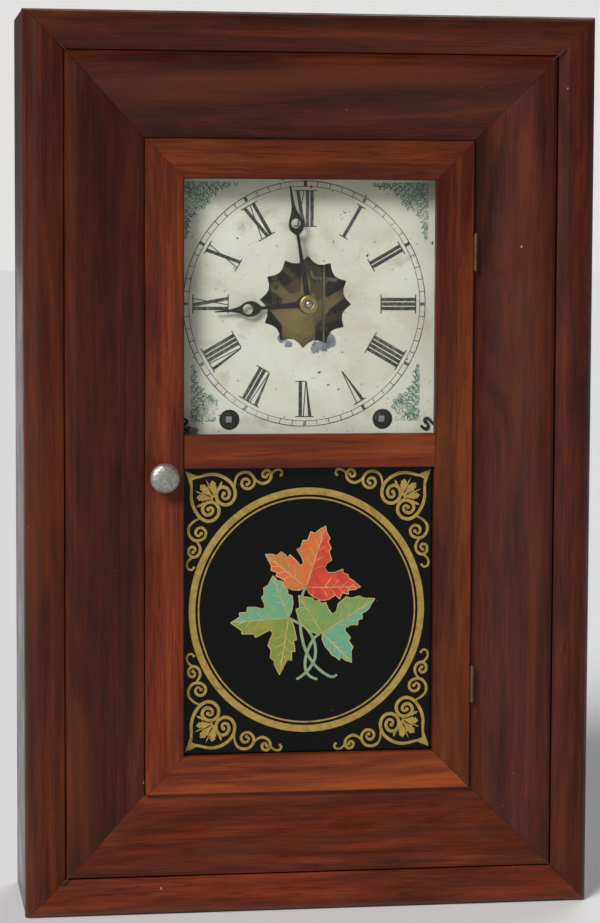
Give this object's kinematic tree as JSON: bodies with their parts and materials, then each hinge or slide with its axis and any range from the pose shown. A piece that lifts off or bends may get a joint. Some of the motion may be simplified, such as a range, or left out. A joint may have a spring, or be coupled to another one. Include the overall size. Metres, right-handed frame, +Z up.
{
  "type": "weight-driven ogee shelf clock",
  "caption": "Thirty-hour weight-driven striking shelf clock in an ogee case, with hinged glazed door, painted dial, pendulum, two falling weights and a coiled gong.",
  "frame": {"origin": "middle of the flat bottom face, midway between the case sides", "axes": "+Z up, -Y out of the dial towards the viewer, +X to the viewer's right"},
  "size_m": [0.421, 0.1325, 0.66],
  "materials": {
    "pine": "plain sawn pine, oiled and dusty",
    "veneer": "dark red-brown mahogany veneer, shellac polish with small chips",
    "door_veneer": "red-brown mahogany veneer, lit and polished",
    "dial": "aged cream paint on zinc, black numerals, green spandrels, paint loss",
    "black_steel": "black steel, slight gloss",
    "steel": "dull steel",
    "brass": "aged brass",
    "cast_iron": "rough cast iron",
    "pewter": "pitted, dull silver metal",
    "cord": "laid cotton cord",
    "glass": "clear old window glass",
    "tablet": "glass painted black behind, with gilt ring and ornaments and three coloured leaves"
  },
  "bodies": {
    "root": {"back_plate": "brass", "backboard": "pine", "case_bottom": "pine", "case_side_left": "pine", "case_side_right": "pine", "case_top": "pine", "dial_plate": "dial", "front_plate": "brass", "gong": "steel", "hinge_case_leaf_lower": "brass", "hinge_case_leaf_upper": "brass", "movement_rail_lower": "pine", "movement_rail_upper": "pine", "ogee_moulding_bottom": "veneer", "ogee_moulding_left": "veneer", "ogee_moulding_right": "veneer", "ogee_moulding_top": "veneer", "outer_moulding_bottom": "veneer", "outer_moulding_left": "veneer", "outer_moulding_right": "veneer", "outer_moulding_top": "veneer", "partition_left": "pine", "partition_right": "pine", "pulley_board": "pine", "strike_cord": "cord", "time_cord": "cord"},
    "door": {"door_member_bottom": "door_veneer", "door_member_top": "door_veneer", "door_member_middle": "door_veneer", "door_member_left": "door_veneer", "door_member_right": "door_veneer", "dial_glass": "glass", "tablet_glass": "tablet", "hinge_door_leaf_upper": "brass", "hinge_door_leaf_lower": "brass"},
    "door_catch": {"door_knob": "pewter", "door_latch": "brass"},
    "time_weight": {"time_weight": "cast_iron"},
    "strike_weight": {"strike_weight": "cast_iron"},
    "time_drum": {"time_drum": "steel"},
    "strike_drum": {"strike_drum": "steel"},
    "time_pulley": {"time_pulley": "pine"},
    "strike_pulley": {"strike_pulley": "pine"},
    "minute_arbor": {"centre_arbor": "brass", "minute_hand": "black_steel"},
    "hour_pipe": {"hour_wheel": "brass", "hour_hand": "black_steel"},
    "motion_wheel": {"motion_wheel": "brass"},
    "second_wheel": {"second_wheel": "brass"},
    "time_great_wheel": {"time_great_wheel": "brass"},
    "third_wheel": {"third_wheel": "brass"},
    "escape_wheel": {"escape_wheel": "brass"},
    "strike_great_wheel": {"strike_great_wheel": "brass"},
    "count_wheel": {"count_wheel": "brass"},
    "pendulum": {"pendulum_rod": "steel", "pendulum_bob": "brass"},
    "verge": {"verge": "steel"},
    "hammer": {"hammer": "steel"}
  },
  "joints": [
    {"name": "door_hinge", "type": "hinge", "parent": "root", "child": "door", "pos_m": [0.1224, -0.052, 0.3265], "axis": [0, 0, 1], "range_deg": [0, 150]},
    {"name": "door_catch_turn", "type": "hinge", "parent": "door", "child": "door_catch", "pos_m": [-0.109, -0.05, 0.323], "axis": [0, 1, 0], "range_deg": [0, 90]},
    {"name": "time_weight_slide", "type": "slide", "parent": "root", "child": "time_weight", "axis": [0, 0, 1], "range_m": [0, 0.4], "deforming": ["time_cord"]},
    {"name": "strike_weight_slide", "type": "slide", "parent": "root", "child": "strike_weight", "axis": [0, 0, 1], "range_m": [0, 0.4], "deforming": ["strike_cord"]},
    {"name": "time_drum_turn", "type": "hinge", "parent": "root", "child": "time_drum", "pos_m": [0.0575, 0.0035, 0.363], "axis": [0, 1, 0], "range_deg": [-1700, 5]},
    {"name": "strike_drum_turn", "type": "hinge", "parent": "root", "child": "strike_drum", "pos_m": [-0.0575, 0.0035, 0.363], "axis": [0, 1, 0], "range_deg": [-5, 1700]},
    {"name": "time_pulley_turn", "type": "hinge", "parent": "root", "child": "time_pulley", "pos_m": [0.115, 0.0035, 0.624], "axis": [0, 1, 0], "range_deg": [-1150, 5]},
    {"name": "strike_pulley_turn", "type": "hinge", "parent": "root", "child": "strike_pulley", "pos_m": [-0.115, 0.0035, 0.624], "axis": [0, 1, 0], "range_deg": [-5, 1150]},
    {"name": "minute_arbor_turn", "type": "hinge", "parent": "root", "child": "minute_arbor", "pos_m": [0, -0.01, 0.4485], "axis": [0, 1, 0], "continuous": true},
    {"name": "hour_pipe_turn", "type": "hinge", "parent": "root", "child": "hour_pipe", "pos_m": [0, -0.01, 0.4485], "axis": [0, 1, 0], "continuous": true},
    {"name": "motion_wheel_turn", "type": "hinge", "parent": "root", "child": "motion_wheel", "pos_m": [-0.02079, -0.0082, 0.4605], "axis": [0, 1, 0], "continuous": true},
    {"name": "second_wheel_turn", "type": "hinge", "parent": "root", "child": "second_wheel", "pos_m": [0.03301, 0, 0.40864], "axis": [0, 1, 0], "continuous": true},
    {"name": "time_great_wheel_turn", "type": "hinge", "parent": "root", "child": "time_great_wheel", "pos_m": [0.0575, 0.013, 0.363], "axis": [0, 1, 0], "continuous": true},
    {"name": "third_wheel_turn", "type": "hinge", "parent": "root", "child": "third_wheel", "pos_m": [0.00884, 0, 0.47162], "axis": [0, 1, 0], "continuous": true},
    {"name": "escape_wheel_turn", "type": "hinge", "parent": "root", "child": "escape_wheel", "pos_m": [0.012, 0, 0.4945], "axis": [0, 1, 0], "continuous": true},
    {"name": "strike_great_wheel_turn", "type": "hinge", "parent": "root", "child": "strike_great_wheel", "pos_m": [-0.0575, 0.013, 0.363], "axis": [0, 1, 0], "continuous": true},
    {"name": "count_wheel_turn", "type": "hinge", "parent": "root", "child": "count_wheel", "pos_m": [-0.04798, 0.0156, 0.39066], "axis": [0, 1, 0], "continuous": true},
    {"name": "pendulum_swing", "type": "hinge", "parent": "root", "child": "pendulum", "pos_m": [0.014, -0.0235, 0.522], "axis": [0, 1, 0], "range_deg": [-3, 3]},
    {"name": "verge_rock", "type": "hinge", "parent": "root", "child": "verge", "pos_m": [0.014, -0.019, 0.466], "axis": [0, 1, 0], "range_deg": [-7.8, 7.8]},
    {"name": "hammer_swing", "type": "hinge", "parent": "root", "child": "hammer", "pos_m": [-0.03, 0.043, 0.345], "axis": [0, 1, 0], "range_deg": [0, 10]}
  ],
  "couplings": [
    {"joint": "time_drum_turn", "follows": "time_weight_slide", "rad_per_m": -73.801},
    {"joint": "time_pulley_turn", "follows": "time_weight_slide", "rad_per_m": -50},
    {"joint": "strike_drum_turn", "follows": "strike_weight_slide", "rad_per_m": 73.801},
    {"joint": "strike_pulley_turn", "follows": "strike_weight_slide", "rad_per_m": 50},
    {"joint": "hour_pipe_turn", "follows": "minute_arbor_turn", "ratio": 0.083333},
    {"joint": "motion_wheel_turn", "follows": "minute_arbor_turn", "ratio": -0.33333},
    {"joint": "second_wheel_turn", "follows": "minute_arbor_turn", "ratio": -0.5},
    {"joint": "time_great_wheel_turn", "follows": "minute_arbor_turn", "ratio": 0.16667},
    {"joint": "third_wheel_turn", "follows": "minute_arbor_turn", "ratio": -10},
    {"joint": "escape_wheel_turn", "follows": "minute_arbor_turn", "ratio": 100},
    {"joint": "count_wheel_turn", "follows": "strike_great_wheel_turn", "ratio": -0.25},
    {"joint": "verge_rock", "follows": "pendulum_swing", "ratio": 2.5556}
  ]
}
